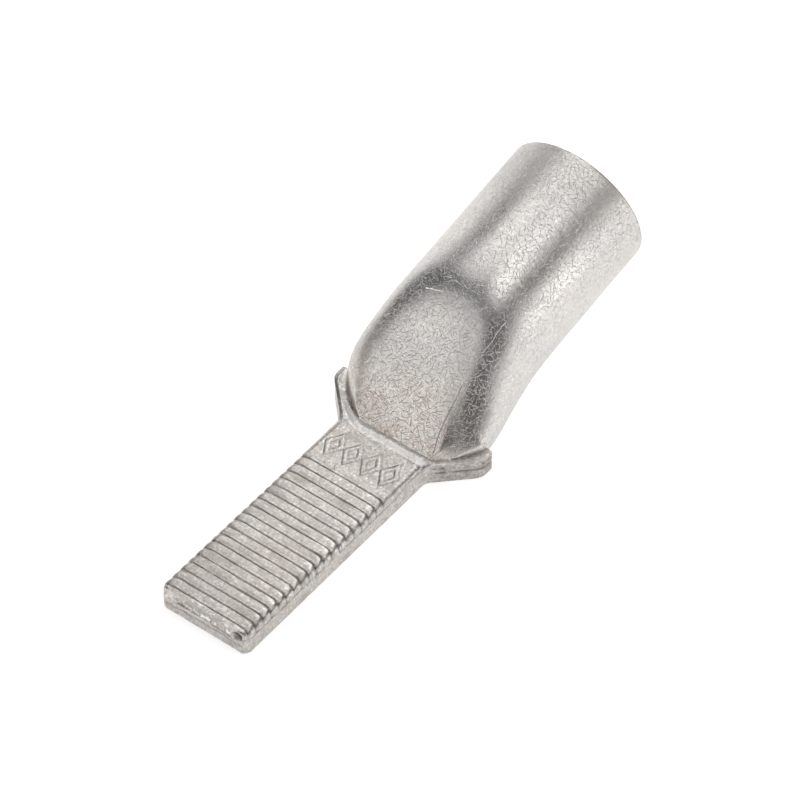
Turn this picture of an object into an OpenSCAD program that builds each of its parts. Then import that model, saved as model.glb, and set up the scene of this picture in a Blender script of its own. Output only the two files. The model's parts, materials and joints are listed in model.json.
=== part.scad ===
// Flat-pin cable lug for a 35 mm2 conductor.
// One length of tinned copper tube: round at the wire end, pressed flat over the neck and coined
// into a ribbed pin at the other. The origin is the middle of the pin's flat underside.
// X runs from the pin's tip towards the barrel, and Z points up through the ribbed face.

/* [Barrel] */
// Inside diameter of the tube, which takes the stripped conductor
bore_d = 9; // [8:0.1:9.6]
// Wall thickness of the tube
wall = 1.5; // [1.2:0.1:1.7]
// Length of the round barrel on its axis, from the neck to the mouth
barrel_len = 12.9; // [10:0.1:20]
// Angle at which the barrel rises from the plane of the pin
barrel_pitch = 11; // [6:0.5:13]
// Chamfer round the outer edge of the mouth
mouth_chamfer = 0.2; // [0.1:0.05:0.4]
// Chamfer round the inner edge of the mouth, which leads the strands in
bore_chamfer = 0.35; // [0.2:0.05:0.5]

/* [Neck] */
// Angle of the flat saddle above the plane of the pin
saddle_slope = 47; // [44:0.5:50]
// Radius that rounds the top of the saddle into the barrel
saddle_blend_r = 3.5; // [2:0.5:5]
// Greatest width of the flattened tube, just behind the ears
neck_w = 13.7; // [13.5:0.1:14.6]
// Width of the saddle's flat face
saddle_w = 7.8; // [6.6:0.2:8.4]
// How far the saddle's foot stands to one side of the pin, where the press caught the tube off centre
foot_offset = 0.65; // [0:0.05:0.8]

/* [Pin] */
// Straight length of the pin, from its tip to the start of the ears
pin_len = 20.9; // [19:0.1:22]
// Width of the pin
pin_w = 8; // [7.6:0.1:8.6]
// Thickness of the pin and of the ears
pin_t = 2.25; // [2:0.05:2.5]
// Radius of the pin's upper long edges
pin_edge_r = 0.5; // [0.3:0.05:0.7]
// Radius of the two corners of the pin's tip, seen from above
tip_corner_r = 0.5; // [0.2:0.1:0.9]
// Chamfer along the lower edges of the pin
under_chamfer = 0.15; // [0.05:0.05:0.3]

/* [Ears] */
// How far each ear stands out beside the neck
ear_proud = 0.15; // [0:0.05:0.3]
// Angle between each ear's front edge and the pin
ear_angle = 45; // [42:1:48]
// Distance from the ears' roots to the crease where the saddle starts to rise
crease_gap = 0.55; // [0.4:0.05:0.8]
// Mean width of the flat strips left between the ears' front edges and the saddle's foot
strip_w = 0.65; // [0.6:0.05:0.9]
// Radius of the inner corner between the pin and an ear
ear_root_r = 1.2; // [0.6:0.1:1.6]
// Radius of each ear's outer corner
ear_tip_r = 1.2; // [0.8:0.1:1.4]
// Length of each ear's straight outer side, behind its corner
ear_side_len = 0.65; // [0.4:0.05:1]

/* [Ribs] */
// Number of grooves pressed across the pin
groove_n = 19; // [10:1:19]
// Spacing of the grooves
groove_pitch = 0.87; // [0.8:0.01:0.9]
// Distance of the first groove from the pin's tip
groove_start = 0.45; // [0.4:0.05:0.8]
// Width of one groove
groove_w = 0.3; // [0.2:0.02:0.36]
// Depth of one groove
groove_depth = 0.14; // [0.1:0.01:0.18]

/* [Hidden] */
$fn = 96;

// Lengths along the pin, from the origin
tip_x = -pin_len / 2;
ear_x = pin_len / 2;
crease_x = ear_x + crease_gap;

// Width over both ears, which are trimmed from the flattened tube
ear_span = neck_w + 2 * ear_proud;

// Sizes of the tube
tube_d = bore_d + 2 * wall;
tube_r = tube_d / 2;
bore_r = bore_d / 2;

// Steps of the curved surfaces
section_points = 60;
ramp_steps = 12;
blend_steps = 8;
corner_steps = 8;
// How deep the foot of the saddle is sunk into the pin's plate
root_sink = 0.6;
// How far from the neck's kink the round barrel and its bore start
barrel_start = 0.3;
// How far from the kink the neck and its hollow end, round the start of the barrel
neck_end = 0.4;
// How much wider than the tube they are there
lap_gap = 0.02;
// Least reach of the round beside the saddle's flat face
foot_round = 0.4;
// Height at which the two walls of the flattened tube come together
slit_h = 0.3;
// How far a cutting shape stands clear of the metal it cuts
cut_over = 1;

// Saddle: a straight ramp, then an arc that ends level with the top of the barrel
blend_tangent = saddle_blend_r * tan((saddle_slope - barrel_pitch) / 2);
ridge_z = tube_d * cos(barrel_pitch) - blend_tangent * sin(barrel_pitch);
ramp_len = (ridge_z - pin_t) / sin(saddle_slope) - blend_tangent;
ramp_dir = [cos(saddle_slope), sin(saddle_slope)];
ramp_foot = [crease_x, pin_t];
ramp_top = ramp_foot + ramp_dir * ramp_len;
blend_centre = ramp_top + saddle_blend_r * [sin(saddle_slope), -cos(saddle_slope)];
barrel_top = blend_centre + saddle_blend_r * [-sin(barrel_pitch), cos(barrel_pitch)];
// Where the underside turns up from the plane of the pin into the barrel
kink_x = barrel_top.x + tube_d * sin(barrel_pitch);

// Foot of the saddle: half its width at the crease, and where the neck reaches its full width
foot_half_w = pin_w / 2 + crease_gap * tan(ear_angle) - strip_w / cos(ear_angle);
full_x = crease_x + (neck_w / 2 - foot_half_w) / tan(ear_angle);

// How far a section that meets the underside at x has come from the crease (0) to the tube (1)
function progress(x) = min(1, max(0, (x - crease_x) / (kink_x - crease_x)));

// How far the neck stands to one side of the pin
function neck_offset(x) = foot_offset * (1 - min(1, max(0, (x - crease_x) / (full_x - crease_x))));

// Half width of the neck
function neck_half_w(x) =
    let (part = min(1, max(0, (x - full_x) / (kink_x - full_x))))
    min(foot_half_w + (x - crease_x) * tan(ear_angle),
        tube_r + (neck_w / 2 - tube_r) * (1 - part) ^ 2);

// Half width of the flat face on top of the neck
function flat_half_w(x) =
    min(saddle_w / 2 * cos(90 * progress(x) ^ 2), neck_half_w(x) - foot_round);

// Height at which the neck is widest
function widest_h(x) = pin_t / 2 + (tube_r - pin_t / 2) * progress(x) ^ 1.5;

// Upper outline of the neck: points as [x, z, slope]
function ramp_line(from, to, steps) =
    [for (i = [0 : steps - 1])
        let (p = ramp_foot + ramp_dir * (from + (to - from) * i / steps))
        [p.x, p.y, saddle_slope]];
function blend_line() =
    [for (i = [0 : blend_steps - 1])
        let (a = saddle_slope + (barrel_pitch - saddle_slope) * i / blend_steps)
        let (p = blend_centre + saddle_blend_r * [-sin(a), cos(a)])
        [p.x, p.y, a]];

// Tilt of the section that touches the upper outline at height z
function tilt(z) = barrel_pitch * max(0, z - pin_t) / (barrel_top.y - pin_t);

// Section of a flattened tube as [y, height] points: a flat on top, a flat below, round sides
// that are widest at height mid, and lower corners as deep as they are wide
function flat_tube(half_w, flat, low, mid, high) =
    [for (i = [0 : section_points - 1])
        let (a = (i + 0.5) * 360 / section_points)
        let (reach = sin(a) > 0 ? half_w - flat : mid - low)
        let (rise = sin(a) > 0 ? high - mid : mid - low)
        [sign(cos(a)) * (half_w - reach) + reach * cos(a), mid + rise * sin(a)]];

// Puts a section on the plane that leans back by angle lean from the underside at x
function placed(x, lean, points) =
    [for (p = points) [x - p.y * sin(lean), p.x - neck_offset(x), p.y * cos(lean)]];

// The outer and the inner section under one point of the upper outline
function outer_section(top) =
    let (lean = tilt(top.y))
    let (x = top.x + top.y * tan(lean))
    placed(x, lean, flat_tube(neck_half_w(x), flat_half_w(x), 0, widest_h(x), top.y / cos(lean)));
function inner_section(top) =
    let (lean = tilt(top.y))
    let (x = top.x + top.y * tan(lean))
    let (high = top.y / cos(lean) - wall / cos(top.z - lean))
    let (mid = max(widest_h(x), (wall + high) / 2))
    placed(x, lean, flat_tube(neck_half_w(x) - wall, flat_half_w(x), wall, mid, high));

// The last section, whose sides just clear a tube of radius r that starts inside it
function end_section(r) =
    let (half_w = (r + lap_gap) / cos(180 / section_points))
    placed(kink_x, barrel_pitch, flat_tube(half_w, 0, tube_r - half_w, tube_r, tube_r + half_w))
        + neck_end * [for (i = [1 : section_points]) [cos(barrel_pitch), 0, sin(barrel_pitch)]];

// Points of an arc round centre c
function arc(c, r, from, to) =
    [for (i = [0 : corner_steps])
        let (a = from + (to - from) * i / corner_steps)
        c + r * [cos(a), sin(a)]];

// A closed skin through rings of points, each ring with the same number of points
module skin(rings) {
    n = len(rings[0]);
    last = len(rings) - 1;
    sides = [for (k = [0 : last - 1], i = [0 : n - 1])
        let (j = (i + 1) % n)
        each [[k * n + i, (k + 1) * n + j, k * n + j], [k * n + i, (k + 1) * n + i, (k + 1) * n + j]]];
    start_cap = [for (i = [1 : n - 2]) [0, i, i + 1]];
    end_cap = [for (i = [1 : n - 2]) [last * n, last * n + i + 1, last * n + i]];
    polyhedron([for (ring = rings) each ring], concat(sides, start_cap, end_cap));
}

// Stands a shape made along +Z on the barrel's axis, starting at the neck
module on_barrel_axis() {
    translate([kink_x, 0, 0])
        rotate([0, 90 - barrel_pitch, 0])
            translate([-tube_r, 0, 0])
                children();
}

// The round tube with its outer edge chamfered at the mouth
module barrel() {
    on_barrel_axis() {
        translate([0, 0, barrel_start])
            cylinder(r = tube_r, h = barrel_len - mouth_chamfer - barrel_start);
        translate([0, 0, barrel_len - mouth_chamfer])
            cylinder(r1 = tube_r, r2 = tube_r - mouth_chamfer, h = mouth_chamfer);
    }
}

// The bore with its lead-in at the mouth
module bore() {
    on_barrel_axis() {
        translate([0, 0, barrel_start])
            cylinder(r = bore_r, h = barrel_len + cut_over);
        translate([0, 0, barrel_len - bore_chamfer])
            cylinder(r1 = bore_r, r2 = bore_r + bore_chamfer + cut_over, h = bore_chamfer + cut_over);
    }
}

// The tube as it is pressed flat, outside
module neck() {
    skin(concat(
        [for (top = concat(ramp_line(-root_sink, ramp_len, ramp_steps), blend_line())) outer_section(top)],
        [end_section(tube_r)]));
}

// The hollow inside the neck, which closes to a slit where the walls meet
module neck_hollow() {
    slit_top = (wall + wall / cos(saddle_slope) + slit_h - pin_t) / sin(saddle_slope);
    skin(concat(
        [for (top = concat(ramp_line(slit_top, ramp_len, ramp_steps), blend_line())) inner_section(top)],
        [end_section(bore_r)]));
}

// Half of the pin's outline seen from above, from the tip round the ear to the neck
function half_outline() =
    let (root_reach = ear_root_r * tan(ear_angle / 2))
    let (tip_reach = ear_tip_r * tan(ear_angle / 2))
    let (ear_end_x = ear_x + (ear_span - pin_w) / 2 / tan(ear_angle))
    let (plate_end_x = ear_end_x + tip_reach + ear_side_len)
    concat(
        arc([tip_x + tip_corner_r, pin_w / 2 - tip_corner_r], tip_corner_r, 180, 90),
        arc([ear_x - root_reach, pin_w / 2 + ear_root_r], ear_root_r, 270, 270 + ear_angle),
        arc([ear_end_x + tip_reach, ear_span / 2 - ear_tip_r], ear_tip_r, 90 + ear_angle, 90),
        [[plate_end_x, ear_span / 2], [plate_end_x, 0]]);

// The pin and both ears as one flat plate
module pin_plate() {
    upper = half_outline();
    lower = [for (i = [len(upper) - 2 : -1 : 0]) [upper[i].x, -upper[i].y]];
    linear_extrude(pin_t)
        polygon(concat(upper, lower));
}

// Cuts the round along one upper long edge of the pin
module edge_round() {
    top = [pin_w / 2 - pin_edge_r, pin_t - pin_edge_r];
    reach = pin_w / 2 + cut_over;
    translate([tip_x - cut_over, 0, 0])
        rotate([90, 0, 90])
            linear_extrude(pin_len + cut_over - ear_root_r)
                polygon(concat(
                    arc(top, pin_edge_r, 0, 90),
                    [[top.x, pin_t + cut_over], [reach, pin_t + cut_over], [reach, top.y]]));
}

// Cuts the chamfer along one lower long edge of the pin
module under_edge() {
    corner = pin_w / 2;
    translate([tip_x - cut_over, 0, 0])
        rotate([90, 0, 90])
            linear_extrude(pin_len + cut_over - ear_root_r)
                polygon([
                    [corner - under_chamfer - cut_over, -cut_over],
                    [corner + cut_over, -cut_over],
                    [corner + cut_over, under_chamfer + cut_over]]);
}

// One groove across the pin
module groove() {
    rise = groove_w / 2 * cut_over / groove_depth;
    rotate([90, 0, 0])
        linear_extrude(pin_w + 2 * cut_over, center = true)
            polygon([
                [0, pin_t - groove_depth],
                [groove_w / 2 + rise, pin_t + cut_over],
                [-groove_w / 2 - rise, pin_t + cut_over]]);
}

// The coined pin: plate, rounded edges and ribs
module pin() {
    difference() {
        pin_plate();
        for (side = [0, 1])
            mirror([0, side, 0]) {
                edge_round();
                under_edge();
            }
        for (i = [0 : groove_n - 1])
            translate([tip_x + groove_start + i * groove_pitch, 0, 0])
                groove();
    }
}

module cable_lug() {
    color([0.76, 0.75, 0.72])
        difference() {
            union() {
                barrel();
                neck();
                pin();
            }
            bore();
            neck_hollow();
        }
}

cable_lug();
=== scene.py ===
"""Looks of the flat-pin cable lug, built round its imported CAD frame.

Lengths in the mesh code are in mm; x runs along the pin to the barrel, and z is up."""
import json
import math
import bmesh
import bpy
import numpy as np
from mathutils import Matrix, Vector
from mathutils.bvhtree import BVHTree


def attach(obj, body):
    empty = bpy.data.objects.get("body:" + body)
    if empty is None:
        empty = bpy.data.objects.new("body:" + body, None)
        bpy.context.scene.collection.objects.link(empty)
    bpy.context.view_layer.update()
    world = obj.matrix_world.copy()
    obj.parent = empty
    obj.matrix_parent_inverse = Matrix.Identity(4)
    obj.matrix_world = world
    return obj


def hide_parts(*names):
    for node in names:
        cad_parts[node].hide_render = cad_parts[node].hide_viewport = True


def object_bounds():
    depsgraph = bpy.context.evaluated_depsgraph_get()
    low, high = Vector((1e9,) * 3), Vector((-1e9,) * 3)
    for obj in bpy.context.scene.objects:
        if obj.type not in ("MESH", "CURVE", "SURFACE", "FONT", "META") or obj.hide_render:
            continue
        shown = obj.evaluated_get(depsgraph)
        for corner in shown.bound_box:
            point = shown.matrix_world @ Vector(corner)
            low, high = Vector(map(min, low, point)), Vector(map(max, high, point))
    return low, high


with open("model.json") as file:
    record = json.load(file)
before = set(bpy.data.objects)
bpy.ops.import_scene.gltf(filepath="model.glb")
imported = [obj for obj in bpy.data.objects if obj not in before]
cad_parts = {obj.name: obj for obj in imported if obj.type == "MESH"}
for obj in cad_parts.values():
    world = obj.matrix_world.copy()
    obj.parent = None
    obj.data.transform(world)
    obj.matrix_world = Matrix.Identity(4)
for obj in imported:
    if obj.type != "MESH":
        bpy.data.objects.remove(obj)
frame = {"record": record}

CAD_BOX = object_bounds()
FLOOR_Z = CAD_BOX[0].z
MM = 0.001
# Keeps the finer skin inside the box of the CAD's facets
INSIDE = 0.9995


def sin_d(a):
    return math.sin(math.radians(a))


def cos_d(a):
    return math.cos(math.radians(a))


def tan_d(a):
    return math.tan(math.radians(a))


def step(x, low, high):
    """0 below low, 1 above high, smooth between."""
    t = np.clip((np.asarray(x, float) - low) / (high - low), 0, 1)
    return t * t * (3 - 2 * t)


def ridge(x, width):
    """1 at x = 0, falling to 0 over about twice the width."""
    return np.exp(-((np.asarray(x, float) / width) ** 2))


def noise(points, scale, seed):
    """Smooth value noise from -1 to 1 at an array of points, one bump per scale."""
    p = np.asarray(points, float) / scale + seed * 17.31
    base = np.floor(p).astype(np.int64)
    part = p - base
    part = part * part * (3 - 2 * part)
    total = np.zeros(len(p))
    for corner in range(8):
        offset = np.array([corner & 1, corner >> 1 & 1, corner >> 2 & 1])
        cell = base + offset
        # integer hash of the cell, as a number from -1 to 1
        h = cell[:, 0] * 374761393 + cell[:, 1] * 668265263 + cell[:, 2] * 2147483647 + seed * 974711
        h = (h ^ (h >> 13)) * 1274126177
        h = ((h ^ (h >> 16)) & 0xFFFF) / 32767.5 - 1
        weight = np.prod(np.where(offset == 1, part, 1 - part), axis=1)
        total += weight * h
    return total


# ---------------------------------------------------------------- sizes
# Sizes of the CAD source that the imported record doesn't hold
BORE_R = frame["record"]["mounts"][0]["dims"]["r_mm"]
WALL = 1.5
BARREL_LEN, BARREL_PITCH = 12.9, 11.0
MOUTH_CHAMFER, BORE_CHAMFER = 0.2, 0.35
SADDLE_SLOPE, SADDLE_BLEND_R = 47.0, 3.5
NECK_W, SADDLE_W, FOOT_OFFSET = 13.7, 7.8, 0.65
PIN_LEN, PIN_W, PIN_T = 20.9, 8.0, 2.25
PIN_EDGE_R, TIP_CORNER_R, UNDER_CHAMFER = 0.5, 0.5, 0.15
EAR_PROUD, EAR_ANGLE, CREASE_GAP, STRIP_W = 0.15, 45.0, 0.55, 0.65
EAR_ROOT_R, EAR_TIP_R, EAR_SIDE_LEN = 1.2, 1.2, 0.65
GROOVE_N, GROOVE_PITCH, GROOVE_START, GROOVE_W, GROOVE_DEPTH = 19, 0.87, 0.45, 0.3, 0.14
ROOT_SINK, FOOT_ROUND, SLIT_H = 0.6, 0.4, 0.3

TUBE_R = BORE_R + WALL
TUBE_D = 2 * TUBE_R
EAR_SPAN = NECK_W + 2 * EAR_PROUD
TIP_X, EAR_X = -PIN_LEN / 2, PIN_LEN / 2
CREASE_X = EAR_X + CREASE_GAP
BLEND_TANGENT = SADDLE_BLEND_R * tan_d((SADDLE_SLOPE - BARREL_PITCH) / 2)
RIDGE_Z = TUBE_D * cos_d(BARREL_PITCH) - BLEND_TANGENT * sin_d(BARREL_PITCH)
RAMP_LEN = (RIDGE_Z - PIN_T) / sin_d(SADDLE_SLOPE) - BLEND_TANGENT
RAMP_TOP = (CREASE_X + RAMP_LEN * cos_d(SADDLE_SLOPE), PIN_T + RAMP_LEN * sin_d(SADDLE_SLOPE))
BLEND_X = RAMP_TOP[0] + SADDLE_BLEND_R * sin_d(SADDLE_SLOPE)
BLEND_Z = RAMP_TOP[1] - SADDLE_BLEND_R * cos_d(SADDLE_SLOPE)
BARREL_TOP_X = BLEND_X - SADDLE_BLEND_R * sin_d(BARREL_PITCH)
BARREL_TOP_Z = BLEND_Z + SADDLE_BLEND_R * cos_d(BARREL_PITCH)
KINK_X = BARREL_TOP_X + TUBE_D * sin_d(BARREL_PITCH)
FOOT_HALF_W = PIN_W / 2 + CREASE_GAP * tan_d(EAR_ANGLE) - STRIP_W / cos_d(EAR_ANGLE)
FULL_X = CREASE_X + (NECK_W / 2 - FOOT_HALF_W) / tan_d(EAR_ANGLE)
EAR_END_X = EAR_X + (EAR_SPAN - PIN_W) / 2 / tan_d(EAR_ANGLE)
PLATE_END_X = EAR_END_X + EAR_TIP_R * tan_d(EAR_ANGLE / 2) + EAR_SIDE_LEN

# Points in a ring, and rings along each stretch
NECK_POINTS, HOLLOW_POINTS = 200, 120
RAMP_RINGS, BLEND_RINGS, BARREL_RINGS = 64, 16, 54
HOLLOW_RAMP_RINGS, HOLLOW_BLEND_RINGS, BORE_RINGS = 32, 12, 26
TOP_POINTS, ROUND_POINTS, SIDE_POINTS, BELOW_POINTS = 116, 7, 12, 12
TIP_RINGS = 14


# ---------------------------------------------------------------- neck and barrel
# Fullness of a shoulder: elliptic, nearly straight, and what the pillowed side has over the elliptic one
ELLIPTIC, STRAIGHT, PILLOW = 2.0, 1.05, 0.7
# Share of the right flank's height that stands upright over the ear
UPRIGHT = 0.42
# How far the worn edges are smoothed round and along the neck, in points
SOFT_ROUND, SOFT_ALONG = 6, 9
# Painted shade on the mouth's chamfer, with a brownish tarnish, and painted shade in the bore
MOUTH_SHADE_AND_TARNISH, BORE_PAINTED_SHADE = 0.45, 0.15


def progress(x):
    return min(1.0, max(0.0, (x - CREASE_X) / (KINK_X - CREASE_X)))


def neck_offset(x):
    return FOOT_OFFSET * (1 - min(1.0, max(0.0, (x - CREASE_X) / (FULL_X - CREASE_X))))


def neck_half_w(x):
    part = min(1.0, max(0.0, (x - FULL_X) / (KINK_X - FULL_X)))
    widening = FOOT_HALF_W + (x - CREASE_X) * tan_d(EAR_ANGLE)
    return min(widening, TUBE_R + (NECK_W / 2 - TUBE_R) * (1 - part) ** 2)


def flat_half_w(x):
    """Half width of the saddle's flat, as in the solid."""
    return min(SADDLE_W / 2 * cos_d(90 * progress(x) ** 2), neck_half_w(x) - FOOT_ROUND)


def worn_flat_half_w(x):
    """Half width of the saddle's flat after pressing: narrower than the solid's towards the barrel."""
    return min(SADDLE_W / 2 * cos_d(90 * progress(x)), neck_half_w(x) - FOOT_ROUND)


def widest_h(x):
    return PIN_T / 2 + (TUBE_R - PIN_T / 2) * progress(x) ** 1.5


def flat_tube(half_w, flats, low, mid, high, count, fullness=(ELLIPTIC, ELLIPTIC), upright=(0.0, 0.0)):
    """Section of a flattened tube, spaced evenly round its outline, from the middle of its underside.

    Pairs are for the sides with y above and below 0: half width of the flat top, fullness of the
    shoulder, and height of an upright wall between the shoulder and the round below it."""
    a = np.radians(np.linspace(-90, 270, 1441))
    top = np.sin(a) > 0
    above = np.cos(a) > 0
    flat, full, wall = (np.where(above, *pair) for pair in (flats, fullness, upright))
    reach = np.where(top, half_w - flat, mid - low)
    base = np.where(top, mid + wall, mid)
    rise = np.where(top, high - base, mid - low)
    side = np.where(above, 1.0, -1.0)
    power = np.where(top, 2 / full, 1.0)
    y = side * (half_w - reach + reach * np.abs(np.cos(a)) ** power)
    h = base + rise * np.sign(np.sin(a)) * np.abs(np.sin(a)) ** power
    y[0] = y[-1] = 0.0
    run = np.concatenate([[0], np.cumsum(np.hypot(np.diff(y), np.diff(h)))])
    at = np.arange(count) / count * run[-1]
    return np.stack([np.interp(at, run, y), np.interp(at, run, h)], axis=1)


def placed(x, lean, section):
    y = section[:, 0] - neck_offset(x)
    return np.stack([x - section[:, 1] * sin_d(lean), y, section[:, 1] * cos_d(lean)], axis=1)


def upper_outline(start, ramp_steps, blend_steps):
    """Points [x, z, slope] up the saddle and round into the barrel."""
    points = []
    for i in range(ramp_steps):
        along = start + (RAMP_LEN - start) * i / ramp_steps
        x = CREASE_X + along * cos_d(SADDLE_SLOPE)
        points.append((x, PIN_T + along * sin_d(SADDLE_SLOPE), SADDLE_SLOPE))
    for i in range(blend_steps):
        slope = SADDLE_SLOPE + (BARREL_PITCH - SADDLE_SLOPE) * i / blend_steps
        x = BLEND_X - SADDLE_BLEND_R * sin_d(slope)
        points.append((x, BLEND_Z + SADDLE_BLEND_R * cos_d(slope), slope))
    return points


def lean_at(z):
    return BARREL_PITCH * max(0.0, z - PIN_T) / (BARREL_TOP_Z - PIN_T)


def outer_ring(point, count):
    """Section of the neck: one shoulder is pillowed, the other straight near the foot."""
    top_x, top_z, _ = point
    lean = lean_at(top_z)
    x = top_x + top_z * tan_d(lean)
    high, mid = top_z / cos_d(lean), widest_h(x)
    pillowed = float(step(x, CREASE_X, CREASE_X + 2) * (1 - step(x, CREASE_X + 6, KINK_X)))
    rounder = float(step(x, CREASE_X + 2.5, CREASE_X + 9))
    over_ear = float(1 - step(x, CREASE_X + 1.8, CREASE_X + 5.5))
    fullness = (ELLIPTIC + PILLOW * pillowed, STRAIGHT + (ELLIPTIC - STRAIGHT) * rounder)
    upright = (0.0, UPRIGHT * (high - mid) * over_ear)
    flats = ((flat_half_w(x) + worn_flat_half_w(x)) / 2, worn_flat_half_w(x))
    return placed(x, lean, flat_tube(neck_half_w(x), flats, 0, mid, high, count, fullness, upright))


def inner_ring(point, count):
    top_x, top_z, slope = point
    lean = lean_at(top_z)
    x = top_x + top_z * tan_d(lean)
    high = top_z / cos_d(lean) - WALL / cos_d(slope - lean)
    mid = max(widest_h(x), (WALL + high) / 2)
    flats = (flat_half_w(x), flat_half_w(x))
    return placed(x, lean, flat_tube(neck_half_w(x) - WALL, flats, WALL, mid, high, count))


def tube_ring(along, radius, count):
    """Ring round the barrel's axis, a distance along it from the kink."""
    section = flat_tube(radius, (0, 0), TUBE_R - radius, TUBE_R, TUBE_R + radius, count)
    axis = np.array([cos_d(BARREL_PITCH), 0, sin_d(BARREL_PITCH)])
    return placed(KINK_X, BARREL_PITCH, section) + along * axis


def ring_mesh(name, rings):
    """A closed mesh through rings of equal length, with both ends capped by a fan."""
    count, rows = len(rings[0]), len(rings)
    points = np.concatenate(list(rings) + [rings[0].mean(0)[None], rings[-1].mean(0)[None]])
    k, i = np.meshgrid(np.arange(rows - 1), np.arange(count), indexing="ij")
    j = (i + 1) % count
    quads = np.stack([k * count + i, (k + 1) * count + i, (k + 1) * count + j, k * count + j], axis=-1)
    first, last = rows * count, rows * count + 1
    i = np.arange(count)
    j = (i + 1) % count
    start = np.stack([np.full(count, first), i, j], axis=1)
    end = np.stack([np.full(count, last), (rows - 1) * count + j, (rows - 1) * count + i], axis=1)
    mesh = bpy.data.meshes.new(name)
    mesh.from_pydata(points.tolist(), [], quads.reshape(-1, 4).tolist() + start.tolist() + end.tolist())
    body = bmesh.new()
    body.from_mesh(mesh)
    bmesh.ops.recalc_face_normals(body, faces=body.faces)
    body.to_mesh(mesh)
    body.free()
    obj = bpy.data.objects.new(name, mesh)
    bpy.context.scene.collection.objects.link(obj)
    return obj


def mark(obj, name, values):
    """Stores a number at each vertex for the material: one for all, or one each and 0 at the caps."""
    attribute = obj.data.attributes.new(name, "FLOAT", "POINT")
    full = np.zeros(len(obj.data.vertices), np.float32)
    if np.isscalar(values):
        full[:] = values
    else:
        full[:len(values)] = values
    attribute.data.foreach_set("value", full)


def blurred(grid, reach, wraps):
    """Mean of each row with its neighbours; a grid that doesn't wrap goes on straight past its ends."""
    half = 2 * reach
    spread = np.exp(-(np.arange(-half, half + 1) / reach) ** 2 / 2)
    spread /= spread.sum()
    if wraps:
        padded = np.concatenate([grid[-half:], grid, grid[:half]])
    else:
        padded = np.concatenate([2 * grid[:1] - grid[half:0:-1], grid, 2 * grid[-1:] - grid[-2:-half - 2:-1]])
    return sum(w * padded[k:k + len(grid)] for k, w in enumerate(spread))


def softened(rings):
    """Rounds the pressed edges of the neck: each point becomes a mean of those round it and along it.

    The rings keep their width and height, and the right side keeps more of its fold near the foot."""
    grid = np.array(rings)
    around = blurred(grid.swapaxes(0, 1), SOFT_ROUND, True).swapaxes(0, 1)
    low, high = grid.min(axis=1, keepdims=True), grid.max(axis=1, keepdims=True)
    new_low, new_high = around.min(axis=1, keepdims=True), around.max(axis=1, keepdims=True)
    # the tiny number keeps a ring with no reach along x from dividing by 0
    around = low + (around - new_low) * (high - low + 1e-9) / (new_high - new_low + 1e-9)
    along = blurred(around, SOFT_ALONG, False)
    x, y = grid[:, :, 0], grid[:, :, 1]
    late = 1 - step(y, -1.5, 0)
    growing = step((x - CREASE_X + 0.1 - 0.7 * late) / (2.3 + 2 * late), 0, 1)
    amount = growing * (1 - step(x, KINK_X + 1, KINK_X + 7))
    mixed = grid + (along - grid) * amount[:, :, None]
    mixed[:, :, 2] = np.maximum(mixed[:, :, 2], 0)
    return list(mixed)


def neck_and_barrel():
    rings = [outer_ring(p, NECK_POINTS) for p in upper_outline(-ROOT_SINK, RAMP_RINGS, BLEND_RINGS)]
    straight = BARREL_LEN - MOUTH_CHAMFER
    rings += [tube_ring(a, TUBE_R, NECK_POINTS) for a in np.linspace(0, straight, BARREL_RINGS)]
    rings = softened(rings)
    turns = (30, 60, 90)
    for turn in turns:
        inset = MOUTH_CHAMFER * (1 - cos_d(turn))
        rings.append(tube_ring(straight + MOUTH_CHAMFER * sin_d(turn), TUBE_R - inset, NECK_POINTS))
    obj = ring_mesh("outer", rings)
    mark(obj, "coined", 0.0)
    shade = np.zeros((len(rings), NECK_POINTS))
    # painted shade, with a brownish tarnish, on the mouth's chamfer
    shade[-len(turns):] = MOUTH_SHADE_AND_TARNISH
    mark(obj, "dark", shade.reshape(-1))
    return obj


def hollow():
    """The bore and the closing slit, as the piece to take away; it goes 1 mm out of the mouth."""
    low = (WALL + WALL / cos_d(SADDLE_SLOPE) + SLIT_H - PIN_T) / sin_d(SADDLE_SLOPE)
    outline = upper_outline(low, HOLLOW_RAMP_RINGS, HOLLOW_BLEND_RINGS)
    rings = [inner_ring(p, HOLLOW_POINTS) for p in outline]
    straight = BARREL_LEN - BORE_CHAMFER
    rings += [tube_ring(a, BORE_R, HOLLOW_POINTS) for a in np.linspace(0, straight, BORE_RINGS)]
    for grow in np.linspace(0, 1, 4)[1:]:
        along = BARREL_LEN - BORE_CHAMFER * (1 - grow)
        rings.append(tube_ring(along, BORE_R + BORE_CHAMFER * grow, HOLLOW_POINTS))
    rings.append(tube_ring(BARREL_LEN + 1, BORE_R + BORE_CHAMFER + 1, HOLLOW_POINTS))
    obj = ring_mesh("hollow", rings)
    mark(obj, "coined", 0.0)
    # painted shade in the bore
    mark(obj, "dark", BORE_PAINTED_SHADE)
    return obj


# ---------------------------------------------------------------- coined pin and ears
# Bevel of the ears' top edge, as width and drop, on the sides with y above and below 0
EAR_BEVELS = ((0.2, 0.1), (0.66, 0.24))
# Direction in which wear presses those bevels in, up from level
BEVEL_TURN = 75
# Where sections stand round a groove's middle, then their spacing before and past the saddle's foot
RIB_STATIONS = (-0.2, -0.14, -0.09, -0.045, 0, 0.045, 0.09, 0.14, 0.2, 0.25, 0.3, 0.42, 0.54)
FLAT_SPACING, HIDDEN_SPACING, LEAST_SPACING = 0.06, 0.1, 0.03
# Ribs: how far down the side they reach and fade, their bend at the pin's edges, and their unevenness
RIB_REACH, RIB_FADE, RIB_BEND, RIB_WANDER = 0.85, 0.6, 0.16, 0.02
# Finer line beside each groove: its distance and depth; low crown between grooves, and at the pin's edges
FINE_GAP, FINE_DEPTH, CROWN, EDGE_CROWN = 0.25, 0.02, 0.01, 0.05
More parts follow.
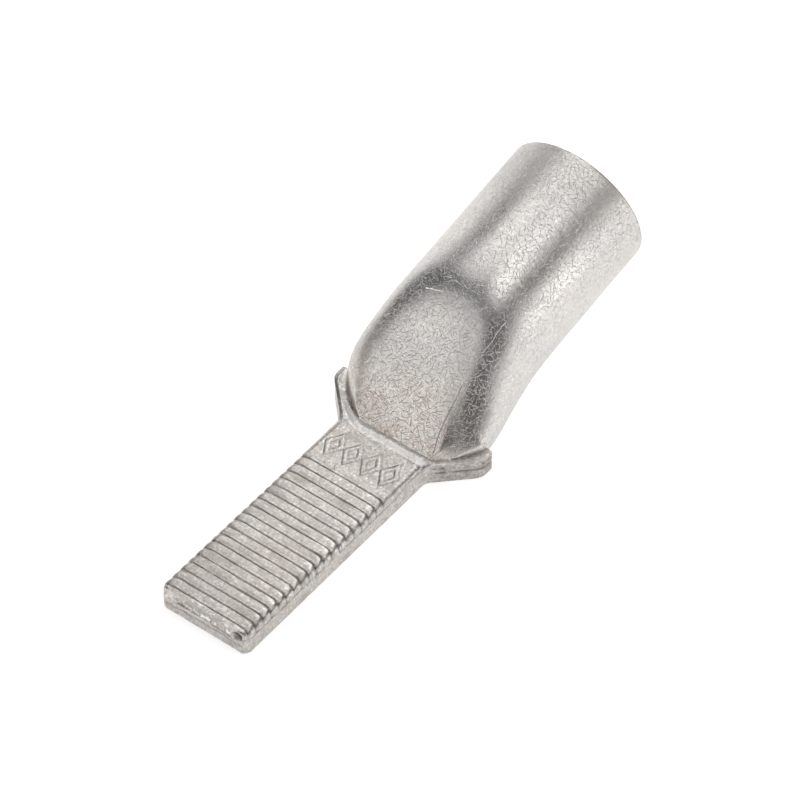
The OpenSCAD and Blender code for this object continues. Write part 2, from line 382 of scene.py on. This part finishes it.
# Stamped row of plain lozenges: place, middles across, half length and half width, raise and sunk outline
ROW_X, ROW_Y, ROW_HALF = TIP_X + 18.35, (-2.55, -0.85, 0.85, 2.55), (1.0, 0.62)
ROW_RAISE, ROW_SINK = 0.03, 0.02
# Rough parting line on the pin's sides: below the top, and its rise towards the right ear
PARTING_DROP, PARTING_RISE = 0.78, 0.42
# Shear marks on the ears' sides: height, roughness, width and weight; their depth
SEAMS = ((1.05, 0.06, 0.07, 1.0), (1.5, 0.08, 0.05, 0.7), (1.96, 0.02, 0.05, 1.0))
SEAM_DEPTH = 0.07
# How much of the shear marks the far ear shows
FAR_EAR = 0.25
# Darkness: in a groove, in the fine line, beside a groove at the near edge, round the lozenges
GROOVE_DARK, FINE_DARK, EDGE_DARK, ROW_DARK = 0.2, 0.14, 0.3, 0.45
# Darkness for each mm pressed in at the parting line and the shear marks
PARTING_DARK, SEAM_DARK = 9, 13
# Darkness of an ear's cut side, painted shade on its bevel, and how much brighter its top is painted as a
# highlight
CUT_DARK, BEVEL_PAINTED_SHADE, EAR_PAINTED_HIGHLIGHT = 0.28, 0.1, 0.3
# Pit in the tip's face: place across and up, stretch across and size
PIT_Y, PIT_Z, PIT_STRETCH, PIT_SIZE = -3.1, 1.45, 1.3, 0.29


def half_width(x):
    """Half of the plate's width at x: tip corners, pin, fillet, ear, ear corner."""
    x = np.asarray(x, float)
    width = np.full(x.shape, PIN_W / 2)
    in_corner = np.clip(TIP_X + TIP_CORNER_R - x, 0, TIP_CORNER_R)
    width -= TIP_CORNER_R - np.sqrt(TIP_CORNER_R ** 2 - in_corner ** 2)
    root_reach = EAR_ROOT_R * tan_d(EAR_ANGLE / 2)
    tip_reach = EAR_TIP_R * tan_d(EAR_ANGLE / 2)
    in_root = np.clip(x - (EAR_X - root_reach), 0, EAR_ROOT_R * sin_d(EAR_ANGLE))
    fillet = EAR_ROOT_R - np.sqrt(EAR_ROOT_R ** 2 - in_root ** 2)
    slope_from = EAR_X + root_reach * cos_d(EAR_ANGLE)
    width += np.where(x < slope_from, fillet, (x - EAR_X) * tan_d(EAR_ANGLE))
    corner_x = EAR_END_X + tip_reach
    in_tip = np.clip(corner_x - x, 0, EAR_TIP_R)
    corner = EAR_SPAN / 2 - EAR_TIP_R + np.sqrt(EAR_TIP_R ** 2 - in_tip ** 2)
    return np.where(x > corner_x - EAR_TIP_R * sin_d(EAR_ANGLE), np.minimum(corner, EAR_SPAN / 2), width)


def stations():
    """Places along the pin where the plate's sections stand: close together in the grooves."""
    xs = [TIP_X + TIP_CORNER_R * (1 - cos_d(a)) for a in (12, 24, 36, 48, 62, 76, 90)]
    for i in range(GROOVE_N):
        middle = TIP_X + GROOVE_START + i * GROOVE_PITCH
        xs += [middle + r for r in RIB_STATIONS]
    last = xs[-1]
    xs += list(np.arange(last + FLAT_SPACING, CREASE_X + 0.3, FLAT_SPACING))
    xs += list(np.arange(CREASE_X + 0.36, PLATE_END_X, HIDDEN_SPACING))
    xs = sorted(x for x in xs if x > TIP_X + 0.005)
    kept = [xs[0]]
    for x in xs:
        if x - kept[-1] > LEAST_SPACING:
            kept.append(x)
    return kept + [PLATE_END_X]


def side_profile(half_w, flare, bevel, bevel_drop):
    """One side of a section, upwards, as [y, z, outward y, outward z], and its inset at the top.

    Its top edge is round on the pin and turns into a bevel as the flare goes from 0 to 1."""
    inset = PIN_EDGE_R * (1 - flare) + bevel / cos_d(EAR_ANGLE) * flare
    drop = PIN_EDGE_R * (1 - flare) + bevel_drop * flare
    heights = np.linspace(UNDER_CHAMFER, PIN_T - drop, SIDE_POINTS, endpoint=False)
    points = [(half_w, z, 1.0, 0.0) for z in heights]
    for a in np.linspace(0, 90, ROUND_POINTS):
        round_y, round_z = half_w - inset * (1 - cos_d(a)), PIN_T - drop * (1 - sin_d(a))
        straight_y, straight_z = half_w - inset * a / 90, PIN_T - drop * (1 - a / 90)
        y = round_y * (1 - flare) + straight_y * flare
        z = round_z * (1 - flare) + straight_z * flare
        turn = a * (1 - flare) + BEVEL_TURN * flare
        points.append((y, z, cos_d(turn), sin_d(turn)))
    return points, inset


def plate_section(x, half_w):
    """One section of the plate, all round, as [y, z, outward y, outward z]."""
    flare = float(step(x, EAR_X - 0.9, EAR_X + 0.3))
    left, left_inset = side_profile(half_w, flare, *EAR_BEVELS[0])
    right, right_inset = side_profile(half_w, flare, *EAR_BEVELS[1])
    right = [(-y, z, -out_y, out_z) for y, z, out_y, out_z in right][::-1]
    top_y = np.linspace(half_w - left_inset, -(half_w - right_inset), TOP_POINTS + 2)[1:-1]
    top = [(y, PIN_T, 0.0, 1.0) for y in top_y]
    below_y = np.linspace(-(half_w - UNDER_CHAMFER), half_w - UNDER_CHAMFER, BELOW_POINTS)
    below = [(y, 0.0, 0.0, 0.0) for y in below_y]
    return np.array(left + top + right + below)


def from_groove(x):
    """Distance along the pin from the first groove and from the nearest one."""
    along = x - (TIP_X + GROOVE_START)
    index = np.clip(np.round(along / GROOVE_PITCH), 0, GROOVE_N - 1)
    return along, along - index * GROOVE_PITCH


def groove_depth(x):
    """Depth of the pressed ribs at x: a sharp line, a finer line beside it, and a low crown between."""
    along, off = from_groove(x)
    main = GROOVE_DEPTH * np.clip(1 - np.abs(off) / (GROOVE_W / 2), 0, 1) ** 4
    beside = FINE_DEPTH * ridge(off - FINE_GAP, 0.035)
    crown = CROWN * np.clip(np.abs(off) / (GROOVE_PITCH / 2) - 1, -1, 0) ** 2
    last = (GROOVE_N - 1) * GROOVE_PITCH
    ends = step(along, -0.45, -0.25) * (1 - step(along, last + 0.3, last + 0.5))
    return main + (beside + crown) * ends


def rib_line(x, width, shift=0.0):
    """1 in the middle of each pressed line, or a shift beside it, falling to 0 between them."""
    return ridge(from_groove(x)[1] - shift, width)


def lozenge_row(x, y):
    """Distance from the outlines of the stamped lozenges, about square to them."""
    nearest = np.full(x.shape, 9.0)
    for middle in ROW_Y:
        around = np.abs(x) / ROW_HALF[0] + np.abs(y - middle) / ROW_HALF[1] - 1
        nearest = np.minimum(nearest, np.abs(around) * 0.53)
    return nearest


def plate_wear(x, y, z, out_y, out_z):
    """How far each point of the plate is pressed in, in mm, and how dark its surface is, with painted shade
    on the near ear's bevel and a painted highlight on its top.
    """
    spots = np.stack([x, y, z], axis=-1).reshape(-1, 3)

    def uneven(scale, seed, stretch=(1.0, 1.0, 1.0)):
        return noise(spots * np.array(stretch), scale, seed).reshape(x.shape)

    upper, side, near = out_z > 0.99, out_y ** 2 > 0.5, y < 0
    rough = uneven(0.25, 5)

    # ribs: they fade out down the side, and stand prouder at the pin's edges
    deep = step(z, PIN_T - RIB_REACH, PIN_T - RIB_FADE)
    bend = RIB_BEND * step(np.abs(y), PIN_W / 2 - 1.1, PIN_W / 2) ** 2
    bent_x = x + bend + RIB_WANDER * uneven(1.7, 3)
    worn = np.clip(0.6 + 0.45 * uneven(0.9, 31, (1.0, 0.5, 1.0)), 0.3, 1)
    edge = step(np.abs(y), PIN_W / 2 - 1.3, PIN_W / 2 - 0.3)
    ribs = (groove_depth(bent_x) * worn + EDGE_CROWN * edge * rib_line(bent_x, 0.2)) * deep
    line = GROOVE_DARK * rib_line(bent_x, 0.045) + FINE_DARK * rib_line(bent_x, 0.04, FINE_GAP)
    line += EDGE_DARK * rib_line(bent_x, 0.09) * edge * near
    line = line * deep * (0.8 + 0.6 * uneven(0.9, 21))

    # stamped row between the last groove and the crease
    row = lozenge_row(x - ROW_X, y)
    outline = ridge(row - 0.2, 0.04)
    stamp = (-ROW_RAISE * (1 - step(row, 0.1, 0.19)) + ROW_SINK * outline) * upper

    # rough parting line along the pin's sides
    parting_z = PIN_T - PARTING_DROP + PARTING_RISE * step(x, EAR_X - 4, EAR_X - 1.8) * near
    parting = ridge(z - (parting_z + 0.06 * rough), 0.07) * (0.06 + 0.05 * rough)
    parting = parting * (out_y ** 2 > 0.4) * step(-x, -EAR_X - 0.2, -EAR_X + 0.6)

    # sheared sides of the ears
    on_ear = step(x, EAR_X - 0.1, EAR_X + 0.7)
    shown = np.where(near, 1.0, FAR_EAR)
    seams = sum(weight * ridge(z - height - waver * rough, width) for height, waver, width, weight in SEAMS)
    seams = SEAM_DEPTH * seams * side * on_ear * shown
    trimmed = CUT_DARK * side * on_ear * (1.2 + rough) * shown
    # painted shade on the near ear's bevel, and a painted highlight on its top
    painted_bevel_shade = BEVEL_PAINTED_SHADE * (out_z > 0.1) * (out_z < 0.99) * near * step(x, EAR_X, EAR_X + 0.8)
    painted_top_highlight = EAR_PAINTED_HIGHLIGHT * upper * near * step(x, EAR_X + 0.8, EAR_X + 1.6)

    # the flat round the stamped row and the half towards the tip are a little duller
    dull = 0.07 * step(x, TIP_X + 16.6, TIP_X + 17.2) * upper + 0.06 * step(-x, -TIP_X - 11, -TIP_X - 3)

    tumbled = 0.01 + 0.008 * uneven(0.8, 7) + 0.006 * uneven(0.3, 8)
    press = ribs + stamp + parting + seams + tumbled
    dark = line + ROW_DARK * outline * upper + PARTING_DARK * parting + SEAM_DARK * seams
    return press, dark + trimmed + painted_bevel_shade - painted_top_highlight + dull


def torn_tip(first):
    """Sheared face of the tip: rings drawn in from the first section, with their darkness, outside first."""
    face, face_dark = [], []
    middle_z = PIN_T / 2
    for part in np.linspace(0, 1, TIP_RINGS + 2)[1:-1]:
        ring = first.copy()
        ring[:, 2] = middle_z + (first[:, 2] - middle_z) * (1 - part)
        reach = PIN_W / 2 - PIN_T / 2 * part
        ring[:, 1] = first[:, 1] * reach / (PIN_W / 2)
        ring[:, 0] = TIP_X + 0.012
        coarse, fine = noise(ring, 0.4, 11), noise(ring, 0.17, 12)
        torn = step(coarse + 0.5 * fine, -0.1, 0.25) * ridge(ring[:, 2] - 1.45, 0.4)
        lower = ridge(ring[:, 2] - 0.62 - 0.15 * coarse, 0.1)
        pit = ridge(np.hypot((ring[:, 1] - PIT_Y) / PIT_STRETCH, ring[:, 2] - PIT_Z), PIT_SIZE)
        sunk = 0.05 * coarse + 0.035 * fine + 0.1 * torn + 0.06 * lower + 0.5 * pit + 0.03
        ring[:, 0] += np.clip(sunk, 0, None)
        face.append(ring)
        # the pit's darkness is painted shade, and the torn patches are lightened as a painted highlight
        face_dark.append(1.6 * pit + 0.45 * lower * (fine > -0.3) + 0.3 * step(-coarse - fine, 0.2, 0.9)
                         - 0.8 * torn * step(fine, 0, 0.3))
    return face, face_dark


def plate():
    xs = np.array(stations())
    grid = np.array([plate_section(x, w) for x, w in zip(xs, half_width(xs))])
    x = np.repeat(xs[:, None], grid.shape[1], axis=1)
    y, z, out_y, out_z = (grid[:, :, i] for i in range(4))
    press, dark = plate_wear(x, y, z, out_y, out_z)
    rings = list(np.stack([x, y - press * out_y, z - press * out_z], axis=-1))
    face, face_dark = torn_tip(rings[0])
    obj = ring_mesh("plate", face[::-1] + rings)
    mark(obj, "coined", 1.0)
    shade = np.concatenate(face_dark[::-1] + [dark.reshape(-1)])
    mark(obj, "dark", np.clip(shade, -1, 1))
    return obj


# Groove along the saddle's foot: half width, depth, and what it has more before the foot than beside it
CREASE_W, CREASE_DEPTH, CREASE_MORE = 0.17, 0.03, 0.06
# Bevel before the foot: raise and reach
BEVEL_RAISE, BEVEL_REACH = 0.12, 0.6
# Painted shade in the groove and beside the foot, the painted highlight on the strip before it, and the share
# of that painted shade that shows on the left
CREASE_PAINTED_SHADE, BESIDE_PAINTED_SHADE, STRIP_PAINTED_HIGHLIGHT, LEFT_SHOWN = 0.42, 0.12, 0.5, 0.3


def near_crease(obj, tube):
    """Presses the fine groove along the saddle's foot into the plate, with a soft raised bevel before it,
    painted shade in the groove and beside the foot, and a painted highlight on the bevel.
    """
    tree = BVHTree.FromObject(tube, bpy.context.evaluated_depsgraph_get())
    dark = obj.data.attributes["dark"].data
    for vertex in obj.data.vertices:
        p = vertex.co
        if p.x < CREASE_X - 1.2 or p.z < PIN_T - 0.25:
            continue
        gap = tree.find_nearest(p)[3]
        groove = math.exp(-((gap / CREASE_W) ** 2))
        front = 1 - float(step(p.x, CREASE_X + 0.3, CREASE_X + 1.2))
        p.z += (BEVEL_RAISE * front * (1 - min(1.0, gap / BEVEL_REACH))
                - (CREASE_DEPTH + CREASE_MORE * front) * groove)
        # painted highlight on the bevel strip; painted shade beside the foot and in the groove
        strip = float(step(gap, 0.2, 0.32) * (1 - step(gap, 0.6, 0.8))) * front
        beside = BESIDE_PAINTED_SHADE * (1 - front) * float(1 - step(gap, 0.25, 0.45))
        shown = LEFT_SHOWN if p.y > 0 and front < 0.5 else 1.0
        shade = dark[vertex.index].value + (CREASE_PAINTED_SHADE * groove + beside) * shown - STRIP_PAINTED_HIGHLIGHT * strip
        dark[vertex.index].value = min(1.0, shade)


def boolean(target, other, operation):
    modifier = target.modifiers.new(operation, "BOOLEAN")
    modifier.operation = operation
    modifier.solver = "MANIFOLD"
    modifier.object = other
    evaluated = target.evaluated_get(bpy.context.evaluated_depsgraph_get())
    mesh = bpy.data.meshes.new_from_object(evaluated)
    target.modifiers.clear()
    target.data = mesh
    bpy.data.objects.remove(other)


# Edges sharper than this, in degrees, aren't shaded smooth
SHARP_ANGLE = 38


def build_lug():
    tube = neck_and_barrel()
    coined = plate()
    near_crease(coined, tube)
    boolean(coined, tube, "UNION")
    boolean(coined, hollow(), "DIFFERENCE")
    mesh = coined.data
    mesh.transform(Matrix.Scale(MM * INSIDE, 4))
    mesh.shade_smooth()
    mesh.set_sharp_from_angle(angle=math.radians(SHARP_ANGLE))
    coined.name = mesh.name = "lug"
    return coined


lug = build_lug()
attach(lug, "root")
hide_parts("cable_lug")


# ---------------------------------------------------------------- material
TIN = (0.66, 0.643, 0.625, 1)
TIN_WARM = (0.66, 0.63, 0.6, 1)
TIN_DULL = (0.36, 0.335, 0.315, 1)
# bright tin: used for painted glints and painted highlights
TIN_BRIGHT = (0.9, 0.89, 0.875, 1)
TARNISH = (0.56, 0.49, 0.44, 1)
TARNISH_DARK = (0.3, 0.27, 0.245, 1)
# dark colour for grime and for painted shade
GRIME_AND_SHADE = (0.12, 0.105, 0.095, 1)
SMOOTHEST, ROUGHEST = 0.31, 0.39
# Extra roughness on the darkened marks, grime with painted shade among them, and on the pin, towards the
# mouth, and in the scratches
ROUGH_PIN, ROUGH_MOUTH, ROUGH_SCRATCH = 0.05, 0.14, 0.4
# Depth of 1 in the relief, in metres, and how strong each part of it is
RELIEF = 0.000012
GRAIN, WAVES, FOLDS, PITS = 0.9, 1.6, 3.0, 1.2
# Scratch layers: cell size and half width in mm, depth, and a shift that sets them apart
SCRATCHES = ((0.55, 0.027, 1.0, (3, 1, 7)), (0.43, 0.025, 0.9, (11, 5, 2)),
             (0.62, 0.027, 0.9, (6, 17, 9)), (0.37, 0.025, 0.9, (1, 23, 4)))
# Lines on the neck: start, end and facing in mm, half width and depth (below 0 for a raised, bright one)
SCARS = (((15.3, -3.7, 6.6), (12.8, -3.7, 4.1), (-0.72, -0.1, 0.69), 0.05, 0.6),
         ((12.85, -3.7, 4.15), (11.3, -4.0, 2.5), (-0.72, -0.1, 0.69), 0.05, 0.6),
         ((19.8, -4.2, 9.8), (16.5, -3.85, 7.8), (-0.5, -0.5, 0.7), 0.045, -0.7),
         ((18.6, 2.4, 10.2), (18.9, 0.8, 10.6), (-0.66, 0.07, 0.75), 0.1, -0.8))


class Nodes:
    """Short calls for building a node tree: an input is a socket, a number or a vector."""

    def __init__(self, tree):
        self.tree = tree

    def add(self, kind, inputs, output=0, **settings):
        node = self.tree.nodes.new(kind)
        for name, value in settings.items():
            setattr(node, name, value)
        for key, value in inputs.items():
            if isinstance(value, bpy.types.NodeSocket):
                self.tree.links.new(value, node.inputs[key])
            else:
                node.inputs[key].default_value = value
        return node.outputs[output]

    def math(self, operation, a, b=0.0, clamp=False):
        return self.add("ShaderNodeMath", {0: a, 1: b}, operation=operation, use_clamp=clamp)

    def plus(self, a, b, clamp=False):
        return self.math("ADD", a, b, clamp)

    def times(self, a, b, clamp=False):
        return self.math("MULTIPLY", a, b, clamp)

    def vector(self, operation, a, b=(0, 0, 0), output=0):
        return self.add("ShaderNodeVectorMath", {0: a, 1: b}, output, operation=operation)

    def scaled(self, a, factor, shift=(0, 0, 0)):
        moved = self.vector("ADD", a, shift)
        return self.add("ShaderNodeVectorMath", {0: moved, "Scale": factor}, operation="SCALE")

    def noise(self, where, detail=2.0, roughness=0.5):
        inputs = {"Vector": where, "Scale": 1.0, "Detail": detail, "Roughness": roughness}
        return self.add("ShaderNodeTexNoise", inputs, "Fac")

    def between(self, value, low, high, out_low=0.0, out_high=1.0):
        inputs = {"Value": value, "From Min": low, "From Max": high, "To Min": out_low, "To Max": out_high}
        return self.add("ShaderNodeMapRange", inputs, interpolation_type="SMOOTHSTEP")

    def mix(self, factor, a, b):
        return self.add("ShaderNodeMix", {0: factor, 6: a, 7: b}, 2, data_type="RGBA")


def needles(n, place, normal, size, width, shift):
    """Short straight scratches that lie every way on the surface, one to a cell: -1 to 1."""
    where = n.scaled(place, 1 / size, shift)
    cell = n.tree.nodes.new("ShaderNodeTexVoronoi")
    cell.inputs["Scale"].default_value = 1.0
    n.tree.links.new(where, cell.inputs["Vector"])
    colour, middle = cell.outputs["Color"], cell.outputs["Position"]
    random = n.vector("SUBTRACT", colour, (0.5, 0.5, 0.5))
    turn = n.vector("NORMALIZE", n.vector("CROSS_PRODUCT", normal, random))
    off = n.vector("SUBTRACT", where, middle)
    across = n.math("ABSOLUTE", n.vector("DOT_PRODUCT", off, turn, "Value"))
    line = n.between(across, 0.0, width / size, 1.0, 0.0)
    ends = n.between(cell.outputs["Distance"], 0.45, 0.75, 1.0, 0.0)
    drawn = n.add("ShaderNodeTexWhiteNoise", {"Vector": middle}, "Value")
    sign = n.between(drawn, 0.25, 0.6, -1.0, 1.0)
    return n.times(n.times(line, ends), sign)


def scar(n, place, start, end, facing, width):
    """1 on the line from start to end, in mm, on the surface that faces that way, 0 past its half width."""
    start, end, facing = Vector(start), Vector(end), Vector(facing).normalized()
    run = (end - start).length
    way = (end - start) / run
    off = n.vector("SUBTRACT", place, start)
    along = n.vector("DOT_PRODUCT", off, way, "Value")
    across = n.plus(n.vector("DOT_PRODUCT", off, way.cross(facing).normalized(), "Value"),
                    n.between(n.noise(n.scaled(place, 1.1)), 0.2, 0.8, -0.06, 0.06))
    line = n.between(n.math("ABSOLUTE", across), 0.0, width, 1.0, 0.0)
    ends = n.times(n.between(along, -0.1, 0.2), n.between(along, run - 0.2, run + 0.1, 1.0, 0.0))
    height = n.math("ABSOLUTE", n.vector("DOT_PRODUCT", off, facing, "Value"))
    near = n.between(height, 1.0, 1.5, 1.0, 0.0)
    return n.times(n.times(line, ends), near)


def added(n, layers):
    """Sum of a generator's layers: each is made just before it is added, as a shader's stack is small."""
    total = None
    for layer in layers:
        total = layer if total is None else n.plus(total, layer)
    return total


def tinned_metal():
    """Tin plate: tumbled and scratched on neck and barrel, stained and gritty on the coined pin."""
    material = bpy.data.materials.new("tinned_copper")
    material.use_nodes = True
    tree = material.node_tree
    n = Nodes(tree)
    shader = tree.nodes["Principled BSDF"]
    place = n.scaled(n.add("ShaderNodeTexCoord", {}, "Object"), 1 / MM)
    normal = n.add("ShaderNodeNewGeometry", {}, "Normal")
    coined = n.add("ShaderNodeAttribute", {}, "Fac", attribute_name="coined")
    dark = n.add("ShaderNodeAttribute", {}, "Fac", attribute_name="dark")
    tumbled = n.math("SUBTRACT", 1.0, coined)

    # relief: scratches, fine grain, long waves, scars and pits
    scratches = added(n, (n.times(needles(n, place, normal, size, width, shift), depth)
                          for size, width, depth, shift in SCRATCHES))
    grain = n.noise(n.scaled(place, 6.0), 3.0, 0.65)
    waves = n.noise(n.scaled(place, 1.3, (5, 2, 8)), 2.0, 0.5)
    pits = n.between(n.noise(n.scaled(place, 3.1, (40, 0, 0)), 2.0, 0.6), 0.62, 0.72)
    patch = n.between(n.noise(n.scaled(place, 0.35, (2, 30, 4)), 2.0, 0.5), 0.3, 0.6, 0.7, 1.0)
    strength = n.times(n.plus(n.times(tumbled, 0.75), 0.1), patch)
    relief = n.plus(n.times(scratches, strength), n.times(grain, GRAIN))
    relief = n.plus(relief, n.times(waves, WAVES))
    folds = added(n, (n.times(scar(n, place, start, end, facing, width), depth)
                      for start, end, facing, width, depth in SCARS))
    relief = n.math("SUBTRACT", relief, n.times(folds, FOLDS))
    relief = n.math("SUBTRACT", relief, n.times(pits, n.times(coined, PITS)))
    bump = n.add("ShaderNodeBump", {"Strength": 1.0, "Distance": RELIEF, "Height": relief})

    # colour: clouds, stain at the saddle's foot and on the pin, grit with painted glints, rolled bands, cuts,
    # and the darkness attribute: grime with painted shade and painted highlights
    cloud = n.noise(n.scaled(place, 0.22), 3.0, 0.6)
    tone = n.mix(n.between(cloud, 0.35, 0.65), TIN_WARM, TIN)
    along = n.add("ShaderNodeSeparateXYZ", {0: place}, "X")
    foot = n.times(n.between(along, CREASE_X + 6, CREASE_X + 0.5), tumbled)
    stain = n.between(n.noise(n.scaled(place, 0.7, (0, 7, 21)), 3.0, 0.6), 0.42, 0.66)
    stain = n.times(n.plus(n.times(stain, 0.6), 0.4), n.plus(foot, n.times(coined, 0.5)))
    tone = n.mix(stain, tone, TARNISH)
    grit = n.noise(n.scaled(place, 4.6, (9, 9, 9)), 4.0, 0.75)
    mottle = n.times(n.between(grit, 0.62, 0.38), n.plus(n.times(coined, 0.55), 0.2))
    tone = n.mix(mottle, tone, TIN_DULL)
    # bright specks of the grit are painted glints
    tone = n.mix(n.times(n.between(grit, 0.58, 0.68), 0.8), tone, TIN_BRIGHT)
    rolled = n.add("ShaderNodeMapping", {"Vector": place, "Scale": (1.2, 0.22, 1.0)})
    streak = n.add("ShaderNodeMapping", {"Vector": place, "Scale": (7.0, 0.7, 3.0)})
    bands = n.plus(n.between(n.noise(rolled, 1.0), 0.5, 0.7), n.between(n.noise(streak, 2.0), 0.5, 0.72))
    tone = n.mix(n.times(bands, n.times(coined, 0.38)), tone, TARNISH_DARK)
    tone = n.mix(n.times(n.times(scratches, -0.45, True), tumbled), tone, TIN_DULL)
    # the dark fold lines on the neck are painted shade in their creases, with grime
    tone = n.mix(n.times(folds, 0.5, True), tone, GRIME_AND_SHADE)
    # the darkness attribute holds grime and oxide in the marks and painted shade in the crease, bore, mouth,
    # pit and ear bevel; below 0 it is a painted highlight
    tone = n.mix(n.times(dark, 0.9, True), tone, GRIME_AND_SHADE)
    tone = n.mix(n.times(dark, -0.9, True), tone, TIN_BRIGHT)

    # roughness
    rough = n.between(cloud, 0.3, 0.7, SMOOTHEST, ROUGHEST)
    rough = n.plus(rough, n.times(n.plus(dark, coined), ROUGH_PIN), True)
    rough = n.plus(rough, n.between(along, KINK_X + 3, KINK_X + 12, 0.0, ROUGH_MOUTH))
    scored = n.times(n.math("ABSOLUTE", scratches), n.times(tumbled, ROUGH_SCRATCH))
    rough = n.plus(rough, scored, True)

    tree.links.new(tone, shader.inputs["Base Color"])
    tree.links.new(rough, shader.inputs["Roughness"])
    tree.links.new(bump, shader.inputs["Normal"])
    shader.inputs["Metallic"].default_value = 1.0
    return material


lug.data.materials.clear()
lug.data.materials.append(tinned_metal())

# ---------------------------------------------------------------- floor, lights, camera
# The floor glows a little less round the lug, so that its shadow shows, and fully from afar
FLOOR_HALF, FLOOR_GLOW, FAR_GLOW = 12.0, 0.66, 1.0
GLOW_FROM, GLOW_TO = 0.4, 1.2
FLOOR_COLOUR, FLOOR_ROUGH = (0.9, 0.9, 0.9, 1), 0.9
BOX_SIZE, BOX_DISTANCE = 0.28, 0.6
# Height of the white wall on a sphere of radius 1, how soon it fades, and the wall's and ceiling's light
WALL_TOP, WALL_FADE, WALL_LIGHT, CEILING_LIGHT = 0.09, 0.05, 1.0, 0.04
CAMERA_TARGET = Vector((0.01605, 0.00273, FLOOR_Z))
CAMERA_AZIMUTH, CAMERA_ELEVATION, CAMERA_DISTANCE = -52.3, 46.8, 0.3254
SENSOR, LENS = 36, 194.85


def white_floor():
    """Pale floor that shows white to the camera and in the metal, and keeps the lug's shadow."""
    material = bpy.data.materials.new("floor_white")
    material.use_nodes = True
    n = Nodes(material.node_tree)
    shader = material.node_tree.nodes["Principled BSDF"]
    shader.inputs["Base Color"].default_value = FLOOR_COLOUR
    shader.inputs["Roughness"].default_value = FLOOR_ROUGH
    shader.inputs["Emission Color"].default_value = (1, 1, 1, 1)
    seen = n.math("MAXIMUM", n.add("ShaderNodeLightPath", {}, "Is Camera Ray"),
                  n.add("ShaderNodeLightPath", {}, "Is Glossy Ray"))
    seen = n.math("MAXIMUM", seen, n.add("ShaderNodeLightPath", {}, "Is Transmission Ray"))
    away = n.vector("LENGTH", n.add("ShaderNodeTexCoord", {}, "Object"), output="Value")
    glow = n.between(away, GLOW_FROM, GLOW_TO, FLOOR_GLOW, FAR_GLOW)
    material.node_tree.links.new(n.times(seen, glow), shader.inputs["Emission Strength"])
    mesh = bpy.data.meshes.new("floor")
    around = ((-1, -1), (1, -1), (1, 1), (-1, 1))
    mesh.from_pydata([(x * FLOOR_HALF, y * FLOOR_HALF, FLOOR_Z) for x, y in around], [], [(0, 1, 2, 3)])
    mesh.materials.append(material)
    obj = bpy.data.objects.new("floor", mesh)
    bpy.context.scene.collection.objects.link(obj)


def soft_box(name, elevation, azimuth, watts):
    """A square lamp that faces the lug from the given direction, in degrees."""
    data = bpy.data.lights.new(name, "AREA")
    data.shape = "SQUARE"
    data.size = BOX_SIZE
    data.energy = watts
    way = Vector((cos_d(elevation) * cos_d(azimuth), cos_d(elevation) * sin_d(azimuth), sin_d(elevation)))
    obj = bpy.data.objects.new(name, data)
    obj.location = Vector((PIN_LEN / 2 * MM, 0, FLOOR_Z)) + way * BOX_DISTANCE
    obj.rotation_euler = (-way).to_track_quat("-Z", "Y").to_euler()
    bpy.context.scene.collection.objects.link(obj)


def dim_room():
    """World light: a white wall low down, all round, and a dim ceiling."""
    world = bpy.data.worlds.new("studio")
    bpy.context.scene.world = world
    world.use_nodes = True
    n = Nodes(world.node_tree)
    height = n.add("ShaderNodeSeparateXYZ", {0: n.add("ShaderNodeTexCoord", {}, "Generated")}, "Z")
    strength = n.between(height, WALL_TOP, WALL_TOP + WALL_FADE, WALL_LIGHT, CEILING_LIGHT)
    background = world.node_tree.nodes["Background"]
    background.inputs["Color"].default_value = (1, 1, 1, 1)
    world.node_tree.links.new(strength, background.inputs["Strength"])


def add_camera():
    across = cos_d(CAMERA_ELEVATION)
    back = Vector((sin_d(CAMERA_AZIMUTH) * across, -cos_d(CAMERA_AZIMUTH) * across, sin_d(CAMERA_ELEVATION)))
    data = bpy.data.cameras.new("camera")
    data.sensor_width = SENSOR
    data.lens = LENS
    camera = bpy.data.objects.new("camera", data)
    camera.location = CAMERA_TARGET + back * CAMERA_DISTANCE
    camera.rotation_euler = back.to_track_quat("Z", "Y").to_euler()
    bpy.context.scene.collection.objects.link(camera)
    return camera


white_floor()
dim_room()
soft_box("high_front", 65, 300, 0.56)
soft_box("high_far", 65, 0, 0.25)
soft_box("high_left", 65, 60, 0.42)
soft_box("behind_barrel", 40, 18, 0.95)
soft_box("pin_left", 40, 162, 0.25)
soft_box("pin_end", 40, 198, 0.3)
soft_box("low_far", 16, 60, 0.27)
soft_box("low_left", 16, 150, 0.52)
soft_box("low_right", 13, 300, 0.46)
bpy.context.scene.camera = add_camera()
bpy.context.scene.view_settings.view_transform = "Standard"
